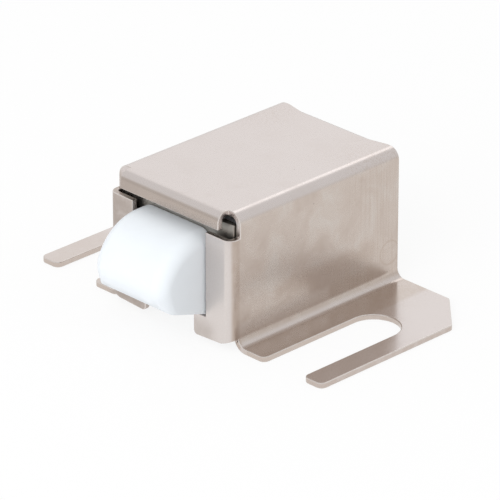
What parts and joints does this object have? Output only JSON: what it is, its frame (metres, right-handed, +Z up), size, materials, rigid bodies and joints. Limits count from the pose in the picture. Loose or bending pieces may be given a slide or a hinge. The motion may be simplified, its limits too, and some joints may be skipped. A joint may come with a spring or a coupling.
{
  "type": "push to open catch",
  "caption": "Folded steel box on slotted flanges; its sprung nylon nose stays in when pushed and springs out when pushed again.",
  "frame": {"origin": "on the mounting surface, midway across the front face of the box", "axes": "+X to the right seen from the front, +Y from the front of the box to its back, +Z up from the mounting surface"},
  "size_m": [0.0594, 0.0436, 0.0217],
  "materials": {
    "nickel_plate": "satin nickel plate on steel sheet",
    "plated_steel": "dull zinc plate",
    "spring_steel": "drawn wire and tempered strip",
    "nylon": "smooth moulded nylon with a soft sheen"
  },
  "bodies": {
    "box": {"housing": "nickel_plate", "rear_bracket": "plated_steel", "left_spring_rod": "plated_steel", "right_spring_rod": "plated_steel", "left_spring": "spring_steel", "right_spring": "spring_steel", "leaf_spring": "spring_steel", "leaf_rivet": "plated_steel"},
    "slider": {"plunger": "nylon", "stop_plate": "plated_steel"},
    "track_arm": {"follower": "spring_steel"}
  },
  "joints": [
    {"name": "plunger_travel", "type": "slide", "parent": "box", "child": "slider", "axis": [0, 1, 0], "range_m": [0, 0.008], "stiffness_N_per_m": 1400, "springref_m": -0.003, "deforming": ["left_spring", "right_spring"]},
    {"name": "follower_swing", "type": "hinge", "parent": "box", "child": "track_arm", "pos_m": [0, 0.029, 0.00315], "axis": [0, 0, 1], "range_deg": [0, 15.9]}
  ],
  "couplings": [
    {"joint": "follower_swing", "follows": "plunger_travel", "rad_per_m": 34.36}
  ]
}
